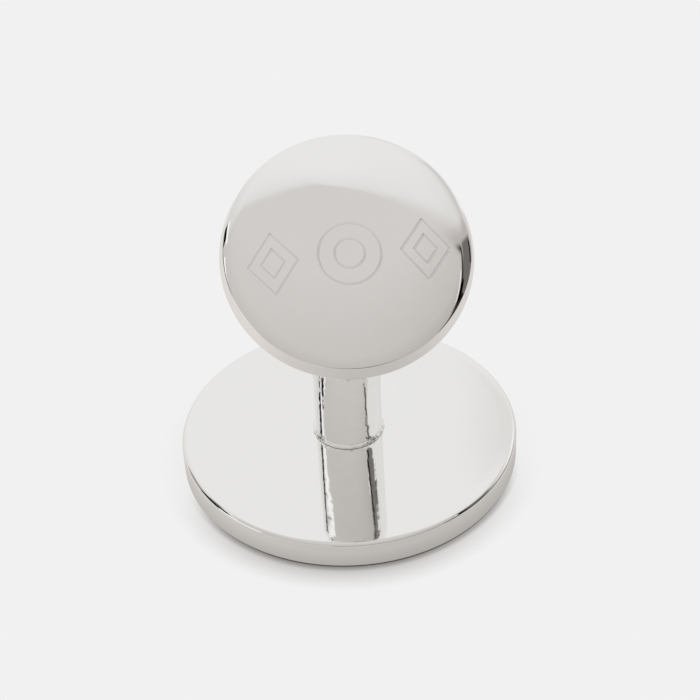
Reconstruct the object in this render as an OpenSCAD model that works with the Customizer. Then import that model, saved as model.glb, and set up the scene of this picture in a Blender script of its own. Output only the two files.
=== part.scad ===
// Fixed-back cufflink standing face down: a flat round face, a solid post that bends as it rises,
// and a small domed button on the post's end, tipped by the bend.
// Millimetres. +Z is up and the post bends towards -Y. The origin is the centre of the face's front,
// on the surface that it lies on.

/* [Front disc] */
// Diameter of the round face
disc_d = 18.1; // [16:0.1:22]
// Thickness of the face
disc_t = 1.65; // [1:0.05:2.5]
// Radius of the rounded edge on the post's side
disc_inner_edge_r = 0.25; // [0.1:0.05:0.4]
// Radius of the rounded edge on the side that is worn outwards
disc_outer_edge_r = 0.15; // [0.1:0.05:0.4]

/* [Post] */
// Diameter of the post
post_d = 3.6; // [2.6:0.1:4.4]
// Length of the post along its centre line
post_length = 15.3; // [13:0.1:18]
// Angle that the post turns through from the face to the button
post_bend = 36; // [15:1:45]
// Radius of the round of solder at each end of the post
bead_r = 0.22; // [0.15:0.01:0.3]
// How far the solder stands out from the post
bead_reach = 0.12; // [0.05:0.01:0.14]

/* [Back button] */
// Diameter of the button at its widest
button_d = 11.9; // [10:0.1:14]
// Height of the button's side, from its back to the crease under its shoulder
button_rim_h = 1.1; // [0.7:0.1:1.3]
// How far the crease lies inside the widest part
button_draft = 0.2; // [0.1:0.05:0.4]
// Radius of curvature of the dome
dome_curve_r = 15; // [12:0.5:24]
// Radius of the shoulder that rounds the dome down to the crease
shoulder_r = 2; // [1.4:0.1:2.4]
// Steepness of the shoulder where it meets the crease
shoulder_end = 38; // [32:1:44]
// Radius of the rounded edge round the button's back
button_edge_r = 0.2; // [0.1:0.05:0.3]

/* [Engraving] */
// Height of the middle ring and of the lozenge on each side of it
motif_h = 3; // [1.8:0.1:3.2]
// Width of each lozenge as a share of its height
lozenge_slimness = 0.8; // [0.6:0.05:0.95]
// Distance from the ring's centre to the centre of each lozenge
motif_pitch = 3.5; // [3.3:0.1:3.6]
// How far the engraving sits from the middle of the dome, towards the button's low side
motif_drop = 0.6; // [0:0.1:0.8]
// Size of the inner outline of each figure as a share of the outer one
inner_share = 0.5; // [0.35:0.05:0.6]
// Width of the engraved line
groove_w = 0.12; // [0.08:0.01:0.16]
// Depth of the engraved line
groove_depth = 0.06; // [0.03:0.01:0.1]

/* [Fit] */
// Hairline seam left between the post's ends and the pieces that it carries
seam_gap = 0.02; // [0.01:0.01:0.05]

/* [Hidden] */
$fn = 96;

polished = "gainsboro";
disc_r = disc_d / 2;
post_r = post_d / 2;
button_r = button_d / 2;

// The post's centre line is an arc in the YZ plane that leaves the face square to it.
bend_radius = post_length / (post_bend * PI / 180);
foot_z = disc_t + seam_gap;
head_y = -bend_radius * (1 - cos(post_bend));
head_z = foot_z + bend_radius * sin(post_bend);

// The button's profile: the side draws in to a crease, and a round shoulder runs from the crease
// into the dome. The heights are above the button's flat back.
crease_r = button_r - button_draft;
shoulder_axis_r = crease_r - shoulder_r * sin(shoulder_end);
shoulder_axis_z = button_rim_h - shoulder_r * cos(shoulder_end);
// The shoulder stands a hair proud of the dome's sphere, so that the two cross instead of only touching.
shoulder_proud = 0.001;
dome_to_shoulder = dome_curve_r - shoulder_r + shoulder_proud;
shoulder_start = asin(shoulder_axis_r / dome_to_shoulder);
dome_centre_z = shoulder_axis_z - dome_to_shoulder * cos(shoulder_start);
button_h = dome_centre_z + dome_curve_r;
// Extra length of a cutting solid past the surface that it cuts
overcut = 1;

// Takes the corner at [x, y] off a profile and leaves an arc of radius r there.
// side is 1 for a top corner and -1 for a bottom one.
module corner_cut(x, y, r, side) {
    translate([x - r, y - side * r])
        difference() {
            translate([0, side > 0 ? 0 : -(r + overcut)])
                square(r + overcut);
            circle(r = r);
        }
}

// The flat round face: a coin with its edges broken.
module front_disc() {
    color(polished)
        rotate_extrude()
            difference() {
                square([disc_r, disc_t]);
                corner_cut(disc_r, disc_t, disc_inner_edge_r, 1);
                corner_cut(disc_r, 0, disc_outer_edge_r, -1);
            }
}

// A round of solder that stands on z = 0 about the Z axis.
module solder_bead() {
    rotate_extrude()
        translate([post_r + bead_reach - bead_r, 0])
            intersection() {
                circle(r = bead_r);
                translate([-bead_r, 0])
                    square([2 * bead_r, bead_r]);
            }
}

// Puts its children where the post's end is, with +Z along the post and out of its end.
module at_post_head() {
    translate([0, head_y, head_z])
        rotate([post_bend, 0, 0])
            children();
}

// The bent post, with its solder at both ends.
module post() {
    color(polished)
        union() {
            translate([0, -bend_radius, foot_z])
                rotate([90, 0, 90])
                    rotate_extrude(angle = post_bend)
                        translate([bend_radius, 0])
                            circle(r = post_r);
            translate([0, 0, foot_z])
                solder_bead();
            at_post_head()
                mirror([0, 0, 1])
                    solder_bead();
        }
}

// One figure of the engraving, as a pair of outlines of the shape given as its child.
module double_outline(size) {
    for (scale_share = [1, inner_share])
        difference() {
            scale(size * scale_share)
                children();
            scale(size * scale_share - 2 * groove_w)
                children();
        }
}

// A lozenge one unit high.
module unit_lozenge() {
    polygon([[-lozenge_slimness / 2, 0], [0, -0.5], [lozenge_slimness / 2, 0], [0, 0.5]]);
}

// The figures of the engraving, flat: a ring between two lozenges.
module motif() {
    double_outline(motif_h)
        circle(d = 1);
    for (side = [-1, 1])
        translate([side * motif_pitch, 0])
            double_outline(motif_h)
                unit_lozenge();
}

// The engraving as a cutter that follows the dome at an even depth.
module engraving() {
    difference() {
        translate([0, -motif_drop, 0])
            linear_extrude(height = button_h + overcut)
                motif();
        translate([0, 0, dome_centre_z])
            sphere(r = dome_curve_r - groove_depth);
    }
}

// The dome's part of the profile, as far out as the shoulder.
module dome_profile() {
    reach = dome_curve_r + overcut;
    intersection() {
        translate([0, dome_centre_z])
            circle(r = dome_curve_r);
        polygon([
            [0, dome_centre_z],
            [reach * sin(shoulder_start), dome_centre_z + reach * cos(shoulder_start)],
            [0, button_h + overcut]
        ]);
    }
}

// What the flat back and the side take in, with the side's line carried on past the crease.
module side_profile() {
    side_top_x = 2 * crease_r - button_r;
    difference() {
        polygon([
            [0, 0],
            [button_r, 0],
            [button_r, button_edge_r],
            [side_top_x, 2 * button_rim_h - button_edge_r],
            [side_top_x, button_h + overcut],
            [0, button_h + overcut]
        ]);
        corner_cut(button_r, 0, button_edge_r, -1);
    }
}

// The button before it is engraved, with its back on z = 0.
module button_blank() {
    rotate_extrude()
        intersection() {
            side_profile();
            union() {
                dome_profile();
                translate([shoulder_axis_r, shoulder_axis_z])
                    circle(r = shoulder_r);
            }
        }
}

// The domed button on the post's end.
module back_button() {
    color(polished)
        at_post_head()
            translate([0, 0, seam_gap])
                difference() {
                    button_blank();
                    engraving();
                }
}

front_disc();
post();
back_button();
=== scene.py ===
"""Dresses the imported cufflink: smooth mirror-polished pieces and the pale studio seen in them.

Sizes in the classes are millimetres, as on a jeweller's drawing, and every mesh is made in metres.
"""

import logging
import math
from collections.abc import Sequence
from dataclasses import dataclass, replace
from enum import Enum
from functools import partial, reduce

import bpy
import numpy as np
from mathutils import Matrix, Vector
from mathutils.geometry import delaunay_2d_cdt


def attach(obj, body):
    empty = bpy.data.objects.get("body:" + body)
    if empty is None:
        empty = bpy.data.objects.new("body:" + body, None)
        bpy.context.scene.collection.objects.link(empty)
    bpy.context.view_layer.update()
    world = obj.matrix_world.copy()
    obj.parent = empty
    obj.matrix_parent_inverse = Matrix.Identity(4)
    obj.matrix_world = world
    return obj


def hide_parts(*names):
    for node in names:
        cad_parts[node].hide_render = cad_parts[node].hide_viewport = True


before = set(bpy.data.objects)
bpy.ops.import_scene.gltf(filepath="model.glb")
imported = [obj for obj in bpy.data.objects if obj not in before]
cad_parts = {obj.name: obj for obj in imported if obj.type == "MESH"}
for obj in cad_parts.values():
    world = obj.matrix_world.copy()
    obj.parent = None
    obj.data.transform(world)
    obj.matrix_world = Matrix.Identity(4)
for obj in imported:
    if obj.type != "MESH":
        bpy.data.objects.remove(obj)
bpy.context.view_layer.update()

Socket = bpy.types.NodeSocket
Triple = tuple[float, float, float]
Spot = Sequence[float] | np.ndarray
MM = 0.001
# Spots closer than this, in millimetres, are one spot.
SAME_SPOT = 1e-6
WHITE = (1.0, 1.0, 1.0)
# A ray's depth is 1 in the metal's first mirror image and 2 in the second.
BETWEEN_IMAGES = 1.5
STEPS = {True: "SMOOTHSTEP", False: "LINEAR"}
log = logging.getLogger("cufflink")


class Slot(Enum):
    """The material slots."""

    FACE = "face_plate"
    POST = "post_plate"
    BUTTON = "button_plate"


class Shows(Enum):
    """In which mirror image a panel of the tent shows: the metal's first, the second, or both."""

    BOTH = "both"
    FIRST = "first"
    SECOND = "second"


class NodeSheet:
    """Adds nodes to a node tree and wires them up."""

    def __init__(self, tree: bpy.types.NodeTree) -> None:
        """Takes a material's, world's or modifier's node tree and empties it."""
        self.tree = tree
        tree.nodes.clear()

    def add(self, kind: str, wires: dict | None = None, **settings: object) -> bpy.types.Node:
        """Adds one node.

        Args:
            kind: the node's type name.
            wires: for each input, by name or number, a value or the output that feeds it.
            settings: the node's own properties.

        Returns:
            The new node.
        """
        node = self.tree.nodes.new(kind)
        for name, value in settings.items():
            setattr(node, name, value)
        for key, value in (wires or {}).items():
            if isinstance(value, Socket):
                self.tree.links.new(value, node.inputs[key])
            else:
                node.inputs[key].default_value = value
        return node

    def math(self, operation: str, *values: object, clamp: bool = False) -> Socket:
        """Adds a Math node on numbers or outputs, kept between 0 and 1 if it is clamped."""
        wires = dict(enumerate(values))
        return self.add("ShaderNodeMath", wires, operation=operation, use_clamp=clamp).outputs[0]

    def product(self, *values: object) -> Socket:
        """Multiplies numbers and outputs."""
        return reduce(partial(self.math, "MULTIPLY"), values)

    def remap(self, value: Socket, low: float, high: float, to_low: object = 0.0,
              to_high: object = 1.0, smooth: bool = True) -> Socket:
        """Maps low to high onto to_low to to_high, by a smooth step or along a straight line."""
        wires = {0: value, 1: low, 2: high, 3: to_low, 4: to_high}
        return self.add("ShaderNodeMapRange", wires, interpolation_type=STEPS[smooth]).outputs[0]

    def blend(self, share: object, first: object, second: object) -> Socket:
        """Adds a linear mix of two numbers or outputs, with the share that the second one has."""
        wires = {0: share, 2: first, 3: second}
        return self.add("ShaderNodeMix", wires, data_type="FLOAT").outputs[0]

    def tint(self, share: object, first: Triple, second: Triple) -> Socket:
        """Adds a mix of two colours, with the share that the second one has."""
        wires = {0: share, 6: (*first, 1.0), 7: (*second, 1.0)}
        return self.add("ShaderNodeMix", wires, data_type="RGBA").outputs[2]

    def noise(self, place: Socket, size: float, detail: float, roughness: float = 0.5) -> Socket:
        """Adds noise whose patches have a size in millimetres."""
        wires = {0: place, "Scale": 1 / (size * MM), "Detail": detail, "Roughness": roughness}
        return self.add("ShaderNodeTexNoise", wires).outputs[0]

    def relief(self, height: Socket, distance: float, **under: Socket) -> Socket:
        """Adds a bump so many millimetres high, on top of the Normal given under it, if any."""
        wires = {"Strength": 1.0, "Distance": distance * MM, "Height": height, **under}
        return self.add("ShaderNodeBump", wires).outputs[0]

    def glow(self, colour: object, strength: object) -> Socket:
        """Adds an even light of its own."""
        return self.add("ShaderNodeEmission", {"Color": colour, "Strength": strength}).outputs[0]

    def split(self, vector: Socket) -> tuple[Socket, Socket, Socket]:
        """Takes a vector apart into x, y and z."""
        return tuple(self.add("ShaderNodeSeparateXYZ", {0: vector}).outputs)

    def join(self, *parts: object) -> Socket:
        """Puts up to three numbers or outputs together as a vector."""
        return self.add("ShaderNodeCombineXYZ", dict(enumerate(parts))).outputs[0]


@dataclass(frozen=True)
class Ramp:
    """A run from one level to another, between two values of what it follows."""

    low: float
    high: float
    at_low: float = 0.0
    at_high: float = 1.0
    smooth: bool = True

    def on(self, sheet: NodeSheet, value: Socket) -> Socket:
        """The level for a value."""
        return sheet.remap(value, self.low, self.high, self.at_low, self.at_high, self.smooth)


@dataclass(frozen=True)
class PolishedPlating:
    """A mirror-polished silver-coloured plating, faintly uneven from hand polishing."""

    name: str
    colour: Triple
    colour_cloud: Triple
    smooth: float
    hazy: float
    haze_size: float
    ripple_size: float
    ripple_height: float
    hairline_height: float
    hairline_run: Triple
    haze_span: tuple[float, float] = (0.3, 0.7)

    def soldered(self, sheet: NodeSheet, place: Socket, roughness: Socket,
                 relief: Socket) -> tuple[Socket, Socket]:
        """The roughness and relief with the solder on: unchanged, as plain plating has none."""
        return roughness, relief

    def material(self) -> bpy.types.Material:
        """Builds the finish.

        Returns:
            The material.
        """
        made = bpy.data.materials.new(self.name)
        made.use_nodes = True
        sheet = NodeSheet(made.node_tree)
        place = sheet.add("ShaderNodeTexCoord").outputs["Object"]
        haze = sheet.noise(place, self.haze_size, detail=3.0, roughness=0.55)
        tone = sheet.tint(sheet.remap(haze, *self.haze_span), self.colour, self.colour_cloud)
        roughness = sheet.remap(haze, *self.haze_span, self.smooth, self.hazy)
        run = sheet.add("ShaderNodeMapping", {"Vector": place, "Scale": self.hairline_run})
        wires = {"Vector": run.outputs[0], "Scale": 1.0, "Detail": 2.0}
        hairline = sheet.add("ShaderNodeTexNoise", wires).outputs[0]
        relief = sheet.relief(hairline, self.hairline_height)
        ripple = sheet.noise(place, self.ripple_size, detail=2.0)
        relief = sheet.relief(ripple, self.ripple_height, Normal=relief)
        roughness, relief = self.soldered(sheet, place, roughness, relief)
        shader = sheet.add("ShaderNodeBsdfPrincipled", {
            "Base Color": tone, "Metallic": 1.0, "Roughness": roughness, "Normal": relief})
        sheet.add("ShaderNodeOutputMaterial", {"Surface": shader.outputs[0]})
        return made


@dataclass(frozen=True)
class SolderedPlating(PolishedPlating):
    """The post's plating, duller and grainier on the rounds of solder at its two ends."""

    foot: float = 1.67
    head: Triple = (0.0, 0.0, 0.0)
    along: Triple = (0.0, 0.0, 1.0)
    solder_height: float = 0.2
    solder_fade: float = 0.05
    solder_rough: float = 0.2
    grain_size: float = 0.14
    grain_height: float = 0.02

    def soldered(self, sheet: NodeSheet, place: Socket, roughness: Socket,
                 relief: Socket) -> tuple[Socket, Socket]:
        """Makes the solder rougher and grainier than the bar.

        Args:
            sheet: the finish's sheet.
            place: the place on the piece.
            roughness: the bar's roughness.
            relief: the bar's surface direction.

        Returns:
            The roughness and the surface direction of bar and solder.
        """
        from_foot = sheet.math("SUBTRACT", sheet.split(place)[2], self.foot * MM)
        head = tuple(v * MM for v in self.head)
        inwards = tuple(-v for v in self.along)
        short = sheet.add("ShaderNodeVectorMath", {0: place, 1: head}, operation="SUBTRACT")
        from_head = sheet.add("ShaderNodeVectorMath", {0: short.outputs[0], 1: inwards},
                              operation="DOT_PRODUCT").outputs["Value"]
        nearer = sheet.math("MINIMUM", from_foot, from_head)
        top = self.solder_height * MM
        solder = sheet.remap(nearer, top, top + self.solder_fade * MM, 1.0, 0.0)
        grain = sheet.product(sheet.noise(place, self.grain_size, detail=1.0), solder)
        return (sheet.blend(solder, roughness, self.solder_rough),
                sheet.relief(grain, self.grain_height, Normal=relief))


@dataclass(frozen=True)
class FloorPaper:
    """The pale paper under the cufflink, glowing evenly, with a short soft shadow painted in front
    of the face.

    The ramps follow how far a spot is in front of the face or to its right, from -1 to 1. The paper
    that the metal mirrors has a tone of its own, apart from the one that the camera sees. Both
    tones carry painted shade round the face.
    """

    name: str = "floor_paper"
    tone: float = 0.88
    shadow: Triple = (0.30, 0.255, 0.23)
    shadow_reach: float = 1.7
    shadow_ahead: Ramp = Ramp(0.1, 0.95, 0.12, 1.25)
    shadow_aside: Ramp = Ramp(0.1, 0.8, 1.0, 0.6)
    # Painted shade in the crease where the paper meets the face's edge, by how far in front a spot
    # is.
    crease: Ramp = Ramp(0.2, 0.7, 1.0, 0.62)
    crease_shade_reach: float = 0.35
    # The mirrored paper's painted shade: darker in front, to the right and at the face's edge.
    mirrored_tint: Triple = (1.0, 0.95, 0.91)
    mirrored_shade_ahead: Ramp = Ramp(0.1, 1.0, 0.73, 0.595, smooth=False)
    mirrored_shade_aside: Ramp = Ramp(-0.7, 0.7, 1.03, 0.96)
    open_radius: float = 16.0
    open_tone: float = 1.08
    contact_shade: Ramp = Ramp(0.45, 0.9, 1.0, 0.0)
    contact_shade_reach: float = 0.2
    edge_shade: float = 0.78
    edge_shade_reach: float = 1.0
    face_radius: float = 9.05

    def material(self) -> bpy.types.Material:
        """Builds the paper.

        Returns:
            The material.
        """
        made = bpy.data.materials.new(self.name)
        made.use_nodes = True
        sheet = NodeSheet(made.node_tree)
        place = sheet.add("ShaderNodeTexCoord").outputs["Object"]
        radius = sheet.add("ShaderNodeVectorMath", {0: place}, operation="LENGTH").outputs["Value"]
        x, y, _ = sheet.split(place)
        frontness = sheet.math("DIVIDE", sheet.product(y, -1.0), radius)
        rightness = sheet.math("DIVIDE", x, radius)
        # Painted shadow: ambient occlusion darkens the paper's glow, more in front of the face than
        # at its sides.
        wires = {"Distance": self.shadow_reach * MM}
        near = sheet.add("ShaderNodeAmbientOcclusion", wires, samples=8)
        hidden = sheet.math("SUBTRACT", 1.0, near.outputs["AO"])
        shade = sheet.product(hidden, self.shadow_ahead.on(sheet, frontness),
                              self.shadow_aside.on(sheet, rightness))
        # Painted shade where the paper meets the face's edge, deepest in front.
        darkest = self.crease.on(sheet, frontness)
        edge = self.face_radius * MM
        crease = sheet.remap(radius, edge, edge + self.crease_shade_reach * MM, darkest, 1.0)
        strength = sheet.product(crease, self.tone)
        seen = sheet.glow(sheet.tint(shade, WHITE, self.shadow), strength)
        tone = self.mirrored_tone(sheet, rightness, radius, frontness)
        mirrored = sheet.glow((*self.mirrored_tint, 1.0), tone)
        straight_on = sheet.add("ShaderNodeLightPath").outputs["Is Camera Ray"]
        both = sheet.add("ShaderNodeMixShader", {0: straight_on, 1: mirrored, 2: seen})
        sheet.add("ShaderNodeOutputMaterial", {"Surface": both.outputs[0]})
        return made

    def mirrored_tone(self, sheet: NodeSheet, rightness: Socket, radius: Socket,
                      frontness: Socket) -> Socket:
        """The mirrored paper's tone, with painted shade: grey in front, dark at the face's edge.

        Args:
            sheet: the paper's sheet.
            rightness: 1 straight to the right of the face and -1 straight to its left.
            radius: the distance from the middle of the face.
            frontness: 1 straight in front of the face and -1 straight behind it.

        Returns:
            The tone.
        """
        edge = self.face_radius * MM
        # Painted shade on the mirrored paper: lighter away from the face, darkest at its edge and
        # in front.
        outwards = sheet.remap(radius, edge, self.open_radius * MM, 1.0, self.open_tone)
        deepest_contact_shade = self.contact_shade.on(sheet, frontness)
        contact_shade = sheet.remap(radius, edge, edge + self.contact_shade_reach * MM, deepest_contact_shade, 1.0)
        edge_shade = sheet.remap(radius, edge, edge + self.edge_shade_reach * MM, self.edge_shade, 1.0, smooth=False)
        return sheet.product(self.mirrored_shade_ahead.on(sheet, frontness),
                             self.mirrored_shade_aside.on(sheet, rightness), outwards, contact_shade, edge_shade)


def leaning(lean: float) -> np.ndarray:
    """The outward and upward parts of a direction so many degrees from straight up."""
    return np.array([math.sin(math.radians(lean)), math.cos(math.radians(lean))])


def all_round(count: int, start: float = 0.0) -> np.ndarray:
    """Even directions all the way round, as rows of x and y."""
    turn = np.linspace(0, 2 * np.pi, count, endpoint=False) + start
    return np.column_stack([np.cos(turn), np.sin(turn)])


def arc(centre: Spot, radius: float, lean_from: float, lean_to: float, steps: int) -> np.ndarray:
    """Points along a round of a turned profile.

    Args:
        centre: the round's centre, as radius and height.
        radius: the round's radius.
        lean_from: how far the surface leans outwards from facing up at the start, in degrees.
        lean_to: the same at the end.
        steps: how many parts it is cut into.

    Returns:
        Rows of radius, height and the outward direction's radial and upright parts.
    """
    lean = np.radians(np.linspace(lean_from, lean_to, steps + 1))
    out, up = np.sin(lean), np.cos(lean)
    return np.column_stack([centre[0] + radius * out, centre[1] + radius * up, out, up])


def straight(start: Spot, end: Spot, lean: float, steps: int) -> np.ndarray:
    """Points along a straight run of a turned profile, its two ends included.

    Args:
        start: radius and height at the start.
        end: radius and height at the end.
        lean: how far the surface leans outwards from facing up, in degrees.
        steps: how many parts it is cut into.

    Returns:
        Rows as arc() gives them.
    """
    share = np.linspace(0, 1, steps + 1)[:, None]
    place = np.array(start) * (1 - share) + np.array(end) * share
    return np.hstack([place, np.tile(leaning(lean), (steps + 1, 1))])


def without_repeats(profile: np.ndarray) -> np.ndarray:
    """Drops each profile row that repeats the place of the one before."""
    step = np.linalg.norm(np.diff(profile[:, :2], axis=0), axis=1)
    return profile[np.concatenate([[True], step > SAME_SPOT])]


class Shell:
    """A skin that is gathered ring by ring, with the true surface direction kept for each point."""

    def __init__(self) -> None:
        """Starts empty."""
        self.points: list[np.ndarray] = []
        self.facings: list[np.ndarray] = []
        self.faces: list[tuple[int, ...]] = []
        self.count = 0

    def add_points(self, points: np.ndarray, facings: np.ndarray) -> np.ndarray:
        """Adds points.

        Args:
            points: their places, in millimetres.
            facings: the surface's outward directions there.

        Returns:
            The numbers that the points got.
        """
        self.points.append(points)
        self.facings.append(facings)
        numbers = np.arange(self.count, self.count + len(points))
        self.count += len(points)
        return numbers

    def add_ring(self, row: np.ndarray, segments: int) -> np.ndarray:
        """Adds a ring of a turned profile, or one point where it meets the axis.

        Args:
            row: radius, height, and the facing's radial and upright parts.
            segments: how many points go round.

        Returns:
            The numbers that the ring's points got.
        """
        radius, height, out, up = row
        way = all_round(segments if radius > 0 else 1)
        level = np.ones((len(way), 1))
        return self.add_points(np.hstack([radius * way, height * level]),
                               np.hstack([out * way, up * level]))

    def bridge(self, upper: np.ndarray, lower: np.ndarray) -> None:
        """Joins two rings, or a ring and a pole, with faces that look outwards.

        Args:
            upper: the ring that comes first along the profile from the top.
            lower: the ring after it.
        """
        around = max(len(upper), len(lower))
        upper, lower = np.resize(upper, around), np.resize(lower, around)
        corners = np.column_stack([upper, lower, np.roll(lower, -1), np.roll(upper, -1)])
        self.faces += [tuple(dict.fromkeys(row)) for row in corners.tolist()]

    def turn(self, profile: np.ndarray, segments: int, first: np.ndarray | None = None) -> None:
        """Turns a profile that runs from the top, out and round to the bottom.

        Args:
            profile: rows of radius, height and facing.
            segments: how many points go round.
            first: the numbers of a ring that is there already, to start from.
        """
        rings = [] if first is None else [first]
        rings += [self.add_ring(row, segments) for row in profile]
        for upper, lower in zip(rings, rings[1:]):
            self.bridge(upper, lower)

    def make(self, name: str, place: Matrix | None = None) -> bpy.types.Object:
        """Makes the skin an object, with its place in the mesh.

        Args:
            name: the object's name.
            place: where the skin stands in the frame, in millimetres.

        Returns:
            The new object.
        """
        points = np.vstack(self.points)
        facings = np.vstack(self.facings)
        if place is not None:
            turn = np.array(place.to_3x3())
            points = points @ turn.T + np.array(place.translation)
            facings = facings @ turn.T
        mesh = bpy.data.meshes.new(name)
        mesh.from_pydata((points * MM).tolist(), [], self.faces)
        mesh.shade_smooth()
        mesh.normals_split_custom_set_from_vertices(facings.tolist())
        made = bpy.data.objects.new(name, mesh)
        bpy.context.scene.collection.objects.link(made)
        return made


def dress(piece: bpy.types.Object, finish: PolishedPlating, node: str) -> None:
    """Gives a piece its finish and puts it in its CAD node's place.

    Args:
        piece: the finished object.
        finish: the plating.
        node: the CAD node that the piece stands for.
    """
    if not piece.data.materials:
        piece.data.materials.append(finish.material())
    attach(piece, "root")
    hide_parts(node)
    log.info("%s: %d faces, stands for %s", piece.name, len(piece.data.polygons), node)


@dataclass
class FrontDisc:
    """The flat round face: a coin with a softened edge on each side."""

    finish: PolishedPlating
    radius: float = 9.05
    thickness: float = 1.65
    inner_edge: float = 0.25
    outer_edge: float = 0.15
    roll_width: float = 0.7
    roll_lean: float = 4.0
    segments: int = 360

    def profile(self) -> np.ndarray:
        """The coin's half section.

        Returns:
            Rows of radius, height and facing, from the top's middle to the bottom's.
        """
        top, inner, outer = self.thickness, self.inner_edge, self.outer_edge
        out, up = leaning(self.roll_lean)
        roll = self.roll_width / out
        roll_start = self.radius - inner + inner * out - self.roll_width
        edge_height = top - roll * (1 - up) - inner * up
        parts = [
            straight((0, top), (roll_start, top), 0, 8),
            arc((roll_start, top - roll), roll, 0, self.roll_lean, 10),
            arc((self.radius - inner, edge_height), inner, self.roll_lean, 90, 14),
            straight((self.radius, edge_height), (self.radius, outer), 90, 4),
            arc((self.radius - outer, outer), outer, 90, 180, 10),
            straight((self.radius - outer, 0), (0, 0), 180, 8),
        ]
        return without_repeats(np.vstack(parts))

    def build(self) -> None:
        """Builds and dresses the face."""
        shell = Shell()
        shell.turn(self.profile(), self.segments)
        dress(shell.make("polished_face"), self.finish, "front_disc")


@dataclass
class BentPost:
    """The solid post: a bar bent in one arc, a little uneven by hand, with solder at both ends."""

    finish: SolderedPlating
    radius: float = 1.8
    length: float = 15.3
    bend: float = 36.0
    foot_height: float = 1.67
    bead_radius: float = 0.22
    bead_reach: float = 0.12
    bead_blend: float = 0.03
    unevenness: float = 0.02
    unevenness_size: float = 0.8
    solder_lumps: float = 0.14
    solder_lump_size: float = 0.35
    solder_lump_fade: Ramp = Ramp(0.6, 2.2, 1.0, 0.0)
    sides: int = 200
    stations: int = 360
    seed: int = 7

    def bend_radius(self) -> float:
        """The radius of the arc that the post's centre line follows."""
        return self.length / math.radians(self.bend)

    def head(self) -> Matrix:
        """Where the post ends.

        Returns:
            The place, in millimetres, with +Z pointing out of the post's end.
        """
        turn = math.radians(self.bend)
        reach = self.bend_radius()
        end = (0, -reach * (1 - math.cos(turn)), self.foot_height + reach * math.sin(turn))
        return Matrix.Translation(end) @ Matrix.Rotation(turn, 4, "X")

    def soldered(self) -> SolderedPlating:
        """The plating with the solder at this post's two ends."""
        head = self.head()
        return replace(self.finish, foot=self.foot_height, head=tuple(head.translation),
                       along=tuple(head.to_3x3().col[2]))

    def inputs(self) -> dict[str, tuple[str, object]]:
        """The tree's named inputs.

        Returns:
            For each name, the socket's type and its value.
        """
        lengths = {
            "Post Radius": self.radius, "Bend Radius": self.bend_radius(),
            "Foot Height": self.foot_height,
            "Bead Radius": self.bead_radius, "Bead Reach": self.bead_reach,
            "Unevenness": self.unevenness, "Unevenness Size": self.unevenness_size,
            "Solder Lumps": self.solder_lumps, "Solder Lump Size": self.solder_lump_size,
        }
        return {
            "Sides": ("NodeSocketInt", self.sides),
            "Stations": ("NodeSocketInt", self.stations),
            **{name: ("NodeSocketFloat", length * MM) for name, length in lengths.items()},
            "Bend": ("NodeSocketFloat", math.radians(self.bend)),
            "Seed": ("NodeSocketFloat", float(self.seed)),
            "Finish": ("NodeSocketMaterial", self.soldered().material()),
        }

    def tree(self, inputs: dict[str, tuple[str, object]]) -> bpy.types.NodeTree:
        """Builds the node tree that sweeps the post along its arc.

        Args:
            inputs: the named inputs, as inputs() gives them.

        Returns:
            The tree.
        """
        tree = bpy.data.node_groups.new("bent_post", "GeometryNodeTree")
        for name, (kind, _) in inputs.items():
            tree.interface.new_socket(name, in_out="INPUT", socket_type=kind)
        tree.interface.new_socket("Geometry", in_out="OUTPUT", socket_type="NodeSocketGeometry")
        sheet = NodeSheet(tree)
        given = sheet.add("NodeGroupInput").outputs
        bar = sheet.add("GeometryNodeMeshCylinder", {
            "Vertices": given["Sides"], "Side Segments": given["Stations"],
            "Radius": 1.0, "Depth": 1.0}, fill_type="NGON")
        across = sheet.split(sheet.add("GeometryNodeInputPosition").outputs[0])
        share = self.crowded_to_ends(sheet, sheet.math("ADD", across[2], 0.5))
        bend_radius = given["Bend Radius"]
        turn = sheet.product(share, given["Bend"])
        along = sheet.product(turn, bend_radius)
        length = sheet.product(given["Bend"], bend_radius)
        to_end = sheet.math("MINIMUM", along, sheet.math("SUBTRACT", length, along))
        radius = self.swept_radius(sheet, given, across, along, to_end)
        outward = sheet.math("ADD", bend_radius, sheet.product(across[1], radius))
        level = sheet.product(outward, sheet.math("COSINE", turn))
        rise = sheet.product(outward, sheet.math("SINE", turn))
        place = sheet.join(sheet.product(across[0], radius),
                           sheet.math("SUBTRACT", level, bend_radius),
                           sheet.math("ADD", rise, given["Foot Height"]))
        result = bar.outputs["Mesh"]
        for kind, wires in (
                ("GeometryNodeSetPosition", {"Position": place}),
                ("GeometryNodeSetShadeSmooth", {1: bar.outputs["Side"], 2: True}),
                ("GeometryNodeRealizeInstances", {}),
                ("GeometryNodeSetMaterial", {"Material": given["Finish"]})):
            result = sheet.add(kind, {0: result, **wires}).outputs[0]
        sheet.add("NodeGroupOutput", {0: result})
        return tree

    @staticmethod
    def crowded_to_ends(sheet: NodeSheet, share: Socket) -> Socket:
        """Crowds even stations, from 0 to 1, towards both ends, where the solder is."""
        wave = sheet.math("COSINE", sheet.product(share, math.pi))
        return sheet.product(sheet.math("SUBTRACT", 1.0, wave), 0.5)

    def swept_radius(self, sheet: NodeSheet, given: bpy.types.NodeOutputs,
                     across: tuple[Socket, Socket, Socket], along: Socket,
                     to_end: Socket) -> Socket:
        """The post's radius at a point of its skin: the bar, its unevenness, and its solder.

        Args:
            sheet: the tree's sheet.
            given: the tree's inputs.
            across: the point on the unit circle.
            along: the distance from the foot along the post.
            to_end: the distance to the nearer end.

        Returns:
            The radius.
        """
        post, bead = given["Post Radius"], given["Bead Radius"]
        skin = sheet.join(sheet.product(across[0], post), sheet.product(across[1], post), along)

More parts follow.
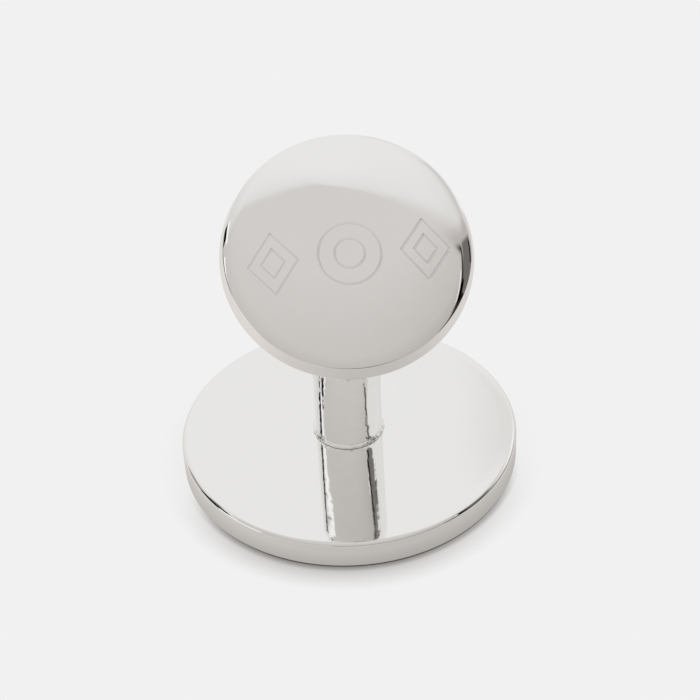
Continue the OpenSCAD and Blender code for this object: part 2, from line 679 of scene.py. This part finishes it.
        def wander(size: str, height: str, detail: float) -> Socket:
            """Noise over the skin, about zero.

            Args:
                size: the input that gives the size of its patches.
                height: the input that gives its height.
                detail: how many finer layers it has.

            Returns:
                The noise.
            """
            noise = sheet.add("ShaderNodeTexNoise", {
                "Vector": skin, "W": given["Seed"], "Scale": sheet.math("DIVIDE", 1.0, given[size]),
                "Detail": detail, "Roughness": 0.6}, noise_dimensions="4D").outputs[0]
            return sheet.product(sheet.math("SUBTRACT", noise, 0.5), given[height])

        square = sheet.math("SUBTRACT", sheet.math("POWER", bead, 2.0),
                            sheet.math("POWER", to_end, 2.0))
        bulge = sheet.math("SQRT", sheet.math("MAXIMUM", square, 0.0))
        core = sheet.math("SUBTRACT", sheet.math("ADD", post, given["Bead Reach"]), bead)
        solder = sheet.math("ADD", core, bulge)
        even = sheet.math("SMOOTH_MAX", post, solder, self.bead_blend * MM)
        near = self.solder_lump_fade.on(sheet, sheet.math("DIVIDE", to_end, bead))
        lumps = sheet.product(near, wander("Solder Lump Size", "Solder Lumps", 2.0))
        uneven = sheet.math("ADD", wander("Unevenness Size", "Unevenness", 1.0), lumps)
        return sheet.math("ADD", even, uneven)

    def build(self) -> None:
        """Sweeps the post with its node tree, makes it a plain mesh and dresses it."""
        inputs = self.inputs()
        tree = self.tree(inputs)
        piece = bpy.data.objects.new("bent_post", bpy.data.meshes.new("bent_post"))
        bpy.context.scene.collection.objects.link(piece)
        modifier = piece.modifiers.new("sweep", "NODES")
        modifier.node_group = tree
        for socket in tree.interface.items_tree:
            if socket.in_out == "INPUT":
                modifier[socket.identifier] = inputs[socket.name][1]
        graph = bpy.context.evaluated_depsgraph_get()
        mesh = bpy.data.meshes.new_from_object(piece.evaluated_get(graph), depsgraph=graph)
        piece.modifiers.clear()
        piece.data = mesh
        dress(piece, self.finish, "post")


@dataclass
class Engraving:
    """The engraved lines: a ring between two lozenges, each a double outline.

    The offsets are where points follow a line, and clear is how far from it other points stay, both
    as shares of the reach.
    """

    height: float = 3.0
    slimness: float = 0.8
    pitch: float = 3.5
    drop: float = 0.6
    inner_share: float = 0.5
    line: float = 0.12
    depth: float = 0.08
    reach: float = 0.06
    offsets: Sequence[float] = (0.08, 0.2, 0.35, 0.5, 0.65, 0.8, 0.95, 1.15)
    clear: float = 1.4
    spacing: float = 0.035
    ring_steps: int = 240

    def paths(self) -> list[np.ndarray]:
        """The lines' middles.

        Returns:
            Closed runs of points, each the corners or the steps of one outline.
        """
        circle = all_round(self.ring_steps) / 2
        half = self.slimness / 2
        lozenge = np.array([[half, 0], [0, 0.5], [-half, 0], [0, -0.5]])
        found = []
        for share in (1.0, self.inner_share):
            size = self.height * share - self.line
            for shape, side in ((circle, 0), (lozenge, -1), (lozenge, 1)):
                found.append(shape * size + [side * self.pitch, -self.drop])
        return found

    def runs(self) -> list[tuple[np.ndarray, np.ndarray]]:
        """The straight runs of all the lines' middles, each as its start and its end."""
        return [run for path in self.paths() for run in zip(path, np.roll(path, -1, axis=0))]

    def distance(self, spots: np.ndarray) -> np.ndarray:
        """How far spots on the dome are from the nearest engraved line.

        Args:
            spots: rows of x and y, seen along the button's axis.

        Returns:
            The distances.
        """
        nearest = np.full(len(spots), np.inf)
        for start, end in self.runs():
            run = end - start
            share = np.clip(((spots - start) @ run) / (run @ run), 0, 1)
            gap = np.linalg.norm(spots - start - share[:, None] * run, axis=1)
            nearest = np.minimum(nearest, gap)
        return nearest

    def cut(self, spots: np.ndarray) -> np.ndarray:
        """How deep the engraving is at spots on the dome, given as rows of x and y."""
        share = np.clip(self.distance(spots) / self.reach, 0, 1)
        return self.depth * (0.5 + 0.5 * np.cos(np.pi * share))

    def crowd(self) -> np.ndarray:
        """Spots that follow the engraved lines closely enough to give them clean walls.

        Returns:
            Rows of x and y.
        """
        offsets = np.array([*(-v for v in self.offsets), 0.0, *self.offsets]) * self.reach
        spots = []
        for start, end in self.runs():
            run = end - start
            length = np.linalg.norm(run)
            side = np.array([run[1], -run[0]]) / length
            share = np.linspace(0, 1, max(2, math.ceil(length / self.spacing)) + 1)
            along = start + share[:, None] * run
            spots.append((along[:, None, :] + offsets[None, :, None] * side).reshape(-1, 2))
        return np.vstack(spots)


@dataclass
class BackButton:
    """The small domed button: a dome, a shoulder, a crease, a leaning side and a flat back."""

    finish: PolishedPlating
    engraving: Engraving
    seat: Matrix
    radius: float = 5.95
    rim_height: float = 1.1
    draft: float = 0.2
    dome_radius: float = 15.0
    shoulder_radius: float = 2.0
    shoulder_end: float = 38.0
    back_edge: float = 0.2
    crease_edge: float = 0.11
    seam: float = 0.02
    face_radius: float = 5.0
    segments: int = 480
    grid: float = 0.1
    grid_twist: float = 7.0
    grid_least: int = 8
    decimals: int = 4
    slope_step: float = 1e-4

    def dome_centre(self) -> float:
        """The height of the dome's centre of curvature above the button's back."""
        axis_r, axis_z = self.shoulder_axis()
        return axis_z - math.sqrt((self.dome_radius - self.shoulder_radius) ** 2 - axis_r**2)

    def crease(self) -> np.ndarray:
        """The crease under the shoulder, as radius and height."""
        return np.array([self.radius - self.draft, self.rim_height])

    def shoulder_axis(self) -> np.ndarray:
        """The centre of the shoulder's round, as radius and height."""
        return self.crease() - self.shoulder_radius * leaning(self.shoulder_end)

    def relief(self, spots: np.ndarray) -> np.ndarray:
        """The engraved dome's height above the button's back, at spots given as rows of x and y."""
        fall = self.dome_radius**2 - (spots**2).sum(1)
        return self.dome_centre() + np.sqrt(fall) - self.engraving.cut(spots)

    def engraved_face(self, shell: Shell) -> np.ndarray:
        """Adds the engraved middle of the dome.

        Args:
            shell: the skin that it belongs to.

        Returns:
            The numbers of the points round its rim.
        """
        rim = self.face_radius * all_round(self.segments)
        field = [np.zeros((1, 2))]
        for radius in np.arange(self.grid, self.face_radius - self.grid / 2, self.grid):
            count = max(self.grid_least, round(2 * math.pi * radius / self.grid))
            field.append(radius * all_round(count, radius * self.grid_twist))
        field = np.vstack(field)
        cut = self.engraving
        field = field[cut.distance(field) > cut.clear * cut.reach]
        spots = np.round(np.vstack([field, cut.crowd()]), self.decimals)
        spots = np.unique(spots, axis=0)
        every = [Vector(p) for p in np.vstack([rim, spots])]
        corners, _, faces, sources, *_ = delaunay_2d_cdt(every, [], [], 0, SAME_SPOT)
        places = np.array([tuple(p) for p in corners])
        step = self.slope_step
        slopes = [(self.relief(places + way) - self.relief(places - way)) / (2 * step)
                  for way in ([step, 0], [0, step])]
        facing = np.column_stack([-slopes[0], -slopes[1], np.ones(len(places))])
        facing /= np.linalg.norm(facing, axis=1)[:, None]
        numbers = shell.add_points(np.column_stack([places, self.relief(places)]), facing)
        for face in faces:
            a, b, c = (places[i] for i in face)
            inwards = (b[0] - a[0]) * (c[1] - a[1]) - (b[1] - a[1]) * (c[0] - a[0]) < 0
            order = reversed(face) if inwards else face
            shell.faces.append(tuple(int(numbers[i]) for i in order))
        number_of = {i: number for number, source in zip(numbers, sources) for i in source}
        return np.array([number_of[i] for i in range(self.segments)])

    def edge_profile(self) -> np.ndarray:
        """The half section from the engraved middle out and round to the back.

        Returns:
            Rows of radius, height and facing.
        """
        axis = self.shoulder_axis()
        start = math.degrees(math.asin(axis[0] / (self.dome_radius - self.shoulder_radius)))
        face_lean = math.degrees(math.asin(self.face_radius / self.dome_radius))
        side_run = np.array([self.draft, self.back_edge - self.rim_height])
        side_run /= np.linalg.norm(side_run)
        side_out = np.array([-side_run[1], side_run[0]])
        side_lean = math.degrees(math.atan2(*side_out))
        reach = self.shoulder_radius - self.crease_edge
        gap = (self.crease() - axis) @ side_out - self.crease_edge
        turn = side_lean - math.degrees(math.acos(gap / reach))
        middle = axis + reach * leaning(turn)
        back = np.array([self.radius - self.back_edge / side_out[0], self.back_edge])
        parts = [
            arc((0, self.dome_centre()), self.dome_radius, face_lean, start, 5)[1:],
            arc(axis, self.shoulder_radius, start, turn, 24),
            arc(middle, self.crease_edge, turn, side_lean, 8),
            straight(middle + self.crease_edge * side_out, back + self.back_edge * side_out,
                     side_lean, 6),
            arc(back, self.back_edge, side_lean, 180, 14),
            straight((back[0], 0), (0, 0), 180, 6),
        ]
        return without_repeats(np.vstack(parts))

    def build(self) -> None:
        """Builds and dresses the button on the post's end."""
        shell = Shell()
        rim = self.engraved_face(shell)
        shell.turn(self.edge_profile(), self.segments, rim)
        piece = shell.make("engraved_button", self.seat @ Matrix.Translation((0, 0, self.seam)))
        dress(piece, self.finish, "back_button")


@dataclass(frozen=True)
class Panel:
    """A light or dark patch on the tent, given by where it lies round the cufflink, in degrees.

    Azimuth 0 is the camera's side and it grows towards +X; the elevation is above the floor.
    """

    azimuth: float
    elevation: float
    half_length: float
    half_width: float
    tone: float
    lean: float = 0.0
    soft: float = 1.0
    strength: float = 1.0

    def mask(self, sheet: NodeSheet, spot: Socket, shown: object) -> Socket:
        """Where the panel shows.

        Args:
            sheet: the tent's sheet.
            spot: azimuth and elevation as a vector.
            shown: 1 in the mirror images that the panel shows in, and 0 in others.

        Returns:
            The panel's strength on the panel and 0 off it.
        """
        own = sheet.add("ShaderNodeMapping", {
            "Vector": spot, "Location": (self.azimuth, self.elevation, 0.0),
            "Rotation": (0.0, 0.0, math.radians(self.lean))}, vector_type="TEXTURE").outputs[0]
        along, across, _ = sheet.split(own)
        result = sheet.product(shown, self.strength)
        for value, half in ((along, self.half_length), (across, self.half_width)):
            step = Ramp(half - self.soft / 2, half + self.soft / 2, 1.0, 0.0)
            result = sheet.product(result, step.on(sheet, sheet.math("ABSOLUTE", value)))
        return result


@dataclass(frozen=True)
class LightTent:
    """The tent of lit cloth and cards round the cufflink: white behind and above, grey in front.

    It shows only in the metal, and the camera looks in through it. Where the white cloth ends is
    given on a sphere of radius 1, with x to the right, y away from the camera and z up.
    """

    panels: dict[Shows, Sequence[Panel]]
    radius: float = 75.0
    rim_lean: float = 89.5
    rings: int = 60
    segments: int = 180
    front: Ramp = Ramp(8.0, 62.0, 0.59, 0.725, smooth=False)
    front_right: Ramp = Ramp(0.0, 75.0, 1.0, 0.84)
    front_low: Ramp = Ramp(30.0, 62.0, 1.0, 0.0)
    back: float = 0.92
    back_edge: float = 0.09
    back_edge_reach: float = 0.05
    back_sides: Ramp = Ramp(90.0, 165.0, 1.0, 0.0)
    back_sides_dim: Ramp = Ramp(42.0, 66.0, 0.17, 0.03)
    left_rise: float = 0.08
    left_step: Ramp = Ramp(-0.026, 0.014)
    right_slant: float = 0.3
    right_rise: float = 0.045
    right_step: Ramp = Ramp(-0.6, 1.0)
    right_blur: Ramp = Ramp(0.15, 0.5, 0.012, 0.1)
    white: Triple = (1.0, 1.0, 0.995)
    warm: Triple = (1.0, 0.935, 0.885)
    warm_below: float = 0.97
    warm_run: float = 0.5

    def front_tone(self, sheet: NodeSheet, azimuth: Socket, elevation: Socket) -> Socket:
        """The grey cloth in front: lighter overhead, and darker towards its right edge.

        Args:
            sheet: the tent's sheet.
            azimuth: the azimuth, in degrees.
            elevation: the elevation, in degrees.

        Returns:
            The tone.
        """
        side = self.front_right.on(sheet, azimuth)
        low = self.front_low.on(sheet, elevation)
        return sheet.product(self.front.on(sheet, elevation), sheet.blend(low, 1.0, side))

    def back_tone(self, sheet: NodeSheet, inwards: Socket, azimuth: Socket,
                  elevation: Socket) -> Socket:
        """The white cloth behind and above: it dims towards its edge and towards the sides.

        Args:
            sheet: the tent's sheet.
            inwards: how far the spot lies inside the cloth's edge.
            azimuth: the azimuth, in degrees.
            elevation: the elevation, in degrees.

        Returns:
            The tone.
        """
        inside = sheet.math("MAXIMUM", inwards, 0.0)
        fade = sheet.math("EXPONENT", sheet.math("DIVIDE", inside, -self.back_edge_reach))
        dimmed = sheet.math("SUBTRACT", self.back, sheet.product(fade, self.back_edge))
        aside = self.back_sides.on(sheet, sheet.math("ABSOLUTE", azimuth))
        sides = sheet.product(aside, self.back_sides_dim.on(sheet, elevation))
        return sheet.math("SUBTRACT", dimmed, sides)

    def with_panels(self, sheet: NodeSheet, spot: Socket, tone: Socket) -> Socket:
        """Lays the panels over the cloth.

        Args:
            sheet: the tent's sheet.
            spot: azimuth and elevation as a vector.
            tone: the bare cloth's tone.

        Returns:
            The tone with the panels.
        """
        depth = sheet.add("ShaderNodeLightPath").outputs["Ray Depth"]
        again = sheet.math("GREATER_THAN", depth, BETWEEN_IMAGES)
        once = sheet.math("SUBTRACT", 1.0, again)
        images = {Shows.BOTH: 1.0, Shows.FIRST: once, Shows.SECOND: again}
        for shows, panels in self.panels.items():
            for panel in panels:
                tone = sheet.blend(panel.mask(sheet, spot, images[shows]), tone, panel.tone)
        return tone

    def material(self) -> bpy.types.Material:
        """Paints the tent.

        Returns:
            The material.
        """
        made = bpy.data.materials.new("tent_cloth")
        made.use_nodes = True
        sheet = NodeSheet(made.node_tree)
        place = sheet.add("ShaderNodeTexCoord").outputs["Object"]
        way = sheet.add("ShaderNodeVectorMath", {0: place}, operation="NORMALIZE").outputs[0]
        x, y, z = sheet.split(way)
        azimuth = sheet.math("DEGREES", sheet.math("ARCTAN2", x, sheet.product(y, -1.0)))
        elevation = sheet.math("DEGREES", sheet.math("ARCSINE", z))
        left = sheet.math("SUBTRACT", y, sheet.product(z, self.left_rise))
        slant = sheet.math("ADD", y, sheet.product(x, self.right_slant))
        right = sheet.math("SUBTRACT", slant, sheet.product(z, self.right_rise))
        crisp = self.left_step.on(sheet, left)
        blurred = sheet.math("DIVIDE", right, self.right_blur.on(sheet, x))
        white = sheet.math("MAXIMUM", crisp, self.right_step.on(sheet, blurred))
        inwards = sheet.math("MAXIMUM", left, right)
        cloth = sheet.blend(white, self.front_tone(sheet, azimuth, elevation),
                            self.back_tone(sheet, inwards, azimuth, elevation))
        tone = self.with_panels(sheet, sheet.join(azimuth, elevation), cloth)
        below = sheet.math("SUBTRACT", self.warm_below, tone)
        warmth = sheet.math("DIVIDE", below, self.warm_run, clamp=True)
        light = sheet.glow(sheet.tint(warmth, self.white, self.warm), tone)
        sheet.add("ShaderNodeOutputMaterial", {"Surface": light})
        return made

    def build(self) -> None:
        """Hangs the tent."""
        shell = Shell()
        dome = arc((0, 0), self.radius, 0, self.rim_lean, self.rings)
        shell.turn(without_repeats(dome), self.segments)
        made = shell.make("light_tent")
        made.data.materials.append(self.material())
        made.visible_camera = False


@dataclass
class Studio:
    """The plain pale studio: a paper floor, a light tent and an even backdrop."""

    paper: FloorPaper
    tent: LightTent
    backdrop_tone: float = 0.88
    far_tone: float = 0.6
    floor_rings: Sequence[float] = (0.0, 30.0, 150.0, 600.0, 1500.0)
    floor_segments: int = 96
    floor_drop: float = 0.01

    def floor(self) -> None:
        """Lays the paper."""
        shell = Shell()
        rows = np.array([[radius, 0, 0, 1] for radius in self.floor_rings])
        shell.turn(rows, self.floor_segments)
        made = shell.make("paper_floor", Matrix.Translation((0, 0, -self.floor_drop)))
        made.data.materials.append(self.paper.material())

    def backdrop(self) -> None:
        """Sets the even backdrop past the floor."""
        world = bpy.data.worlds.new("studio")
        bpy.context.scene.world = world
        world.use_nodes = True
        sheet = NodeSheet(world.node_tree)
        seen = sheet.add("ShaderNodeLightPath").outputs["Is Camera Ray"]
        tone = sheet.blend(seen, self.far_tone, self.backdrop_tone)
        shader = sheet.add("ShaderNodeBackground", {"Color": (*WHITE, 1.0), "Strength": tone})
        sheet.add("ShaderNodeOutputWorld", {"Surface": shader.outputs[0]})

    def build(self) -> None:
        """Sets up the whole studio."""
        self.floor()
        self.backdrop()
        self.tent.build()


@dataclass
class PhotoCamera:
    """The camera at the photograph's viewing angle. Angles are degrees."""

    azimuth: float = -4.43
    elevation: float = 38.05
    roll: float = -3.03
    distance: float = 90.0
    aim: tuple[float, float] = (-0.062, 4.121)
    face_height: float = 1.65
    lens: float = 85.3
    sensor: float = 36.0
    clip: tuple[float, float] = (5.0, 5000.0)

    def build(self) -> None:
        """Makes the camera and sets it as the scene's own."""
        turn, rise, roll = (math.radians(a) for a in (self.azimuth, self.elevation, self.roll))
        ahead = Vector((math.sin(turn), -math.cos(turn), 0))
        back = math.cos(rise) * ahead + math.sin(rise) * Vector((0, 0, 1))
        level = Vector((math.cos(turn), math.sin(turn), 0))
        up = back.cross(level)
        right = math.cos(roll) * level + math.sin(roll) * up
        upright = back.cross(right)
        right_by, down_by = self.aim
        place = Vector((0, 0, self.face_height)) - right_by * right + down_by * upright
        place += self.distance * back
        data = bpy.data.cameras.new("photo_camera")
        data.lens = self.lens
        data.sensor_width = self.sensor
        data.clip_start, data.clip_end = (v * MM for v in self.clip)
        made = bpy.data.objects.new(data.name, data)
        bpy.context.scene.collection.objects.link(made)
        turned = Matrix((right, upright, back)).transposed().to_4x4()
        made.matrix_world = Matrix.Translation(place * MM) @ turned
        bpy.context.scene.camera = made


def tent_panels() -> dict[Shows, Sequence[Panel]]:
    """The light and dark patches on the tent.

    Returns:
        For each choice of mirror image, its panels, each over the ones before it.
    """
    both = (
        # Far back on the right: the bright low cloth, and its dimmer side.
        Panel(122.0, 31.0, 15.0, 6.0, 1.05, soft=6.0),
        Panel(155.0, 40.0, 7.5, 5.0, 0.83, soft=7.0),
        # Low in front: the dark gap at the tent's foot.
        Panel(14.0, 5.0, 31.0, 2.6, 0.12, soft=2.0),
    )
    first = (
        # Right: the dark card, the black gap along its near edge, and the gap at the tent's foot.
        Panel(116.0, 43.0, 18.0, 3.5, 0.64, soft=8.0, strength=0.75),
        Panel(79.0, 34.4, 15.7, 14.8, 0.52, lean=-28.0, soft=7.5, strength=0.9),
        Panel(76.2, 31.3, 10.9, 12.8, 0.175, lean=-38.5, soft=2.6),
        Panel(86.5, 30.1, 1.9, 5.2, 0.0, lean=-40.9, soft=1.9),
        Panel(61.9, 33.6, 1.3, 8.9, 0.9, lean=-18.6, soft=0.4),
        Panel(68.4, 41.2, 1.5, 8.9, 0.0, lean=-20.3, soft=2.9),
        Panel(63.3, 25.8, 3.1, 7.9, 0.0, lean=-25.2, soft=1.3),
        Panel(58.3, 14.4, 4.3, 12.0, 0.0, lean=-61.7, soft=1.5),
        Panel(89.1, 5.1, 36.1, 7.0, 0.04, lean=-18.0, soft=4.7),
        # Left: the black gap with its bright edge, and the gap at the tent's foot.
        Panel(-103.5, 39.3, 5.0, 4.4, 0.0, lean=5.0, soft=1.6),
        Panel(-101.0, 44.9, 6.5, 1.6, 1.15, lean=-8.0, soft=1.6),
        Panel(-112.0, 12.0, 9.0, 16.0, 0.35, soft=6.0),
        Panel(-94.0, 16.5, 11.0, 16.5, 0.02, soft=2.0),
        Panel(-84.5, 31.8, 9.0, 1.3, 1.22, lean=-40.0, soft=0.8),
        Panel(-73.0, 6.0, 15.0, 6.0, 1.15, soft=3.0),
    )
    second = (
        # Right: the pale cloth, the dark card, the black gap along it, and a thin line on the post.
        Panel(100.3, 41.8, 31.3, 11.9, 0.9, lean=8.2, soft=4.0),
        Panel(73.1, 34.5, 12.0, 1.57, 0.14, lean=10.4, soft=2.4),
        Panel(65.6, 36.9, 10.4, 6.9, 0.21, lean=-21.1, soft=1.2),
        Panel(56.2, 38.4, 1.6, 6.2, 1.12, lean=-20.5, soft=0.4),
        Panel(58.6, 34.6, 9.1, 2.9, 0.0, lean=-60.2, soft=2.7),
        Panel(66.5, 49.8, 3.0, 4.4, 0.12, lean=-25.4, soft=2.5),
        # Left: black gaps along strips of bright cloth.
        Panel(-106.1, 46.9, 11.7, 2.0, 1.1, lean=10.8, soft=0.4),
        Panel(-110.2, 43.9, 10.5, 1.9, 0.0, lean=17.0, soft=0.4),
        Panel(-94.8, 38.4, 20.3, 1.6, 1.12, lean=-17.2, soft=2.2),
        Panel(-105.5, 37.2, 17.3, 1.3, 0.0, lean=-14.6, soft=0.4),
    )
    return {Shows.BOTH: both, Shows.FIRST: first, Shows.SECOND: second}


def main() -> None:
    """Builds the camera, the studio and the cufflink, piece by piece."""
    logging.basicConfig(level=logging.INFO, format="%(name)s: %(message)s")
    PhotoCamera().build()
    bpy.context.scene.view_settings.view_transform = "Standard"
    Studio(FloorPaper(), LightTent(tent_panels())).build()
    face_plating = PolishedPlating(
        name="face_plating", colour=(0.86, 0.86, 0.855), colour_cloud=(0.87, 0.868, 0.862),
        smooth=0.03, hazy=0.05, haze_size=2.5, ripple_size=1.4, ripple_height=0.0004,
        hairline_height=0.00003, hairline_run=(300.0, 9000.0, 9000.0))
    post_plating = SolderedPlating(
        name="post_plating", colour=(0.91, 0.908, 0.9), colour_cloud=(0.895, 0.89, 0.88),
        smooth=0.04, hazy=0.07, haze_size=0.9, ripple_size=0.5, ripple_height=0.0006,
        hairline_height=0.00004, hairline_run=(2500.0, 2500.0, 9000.0))
    button_plating = replace(
        face_plating, name="button_plating", haze_size=2.0, ripple_size=1.0,
        hairline_height=0.00005, hairline_run=(6000.0, 500.0, 6000.0))
    FrontDisc(face_plating).build()
    post = BentPost(post_plating)
    post.build()
    BackButton(button_plating, Engraving(), post.head()).build()


if __name__ == "__main__":
    main()
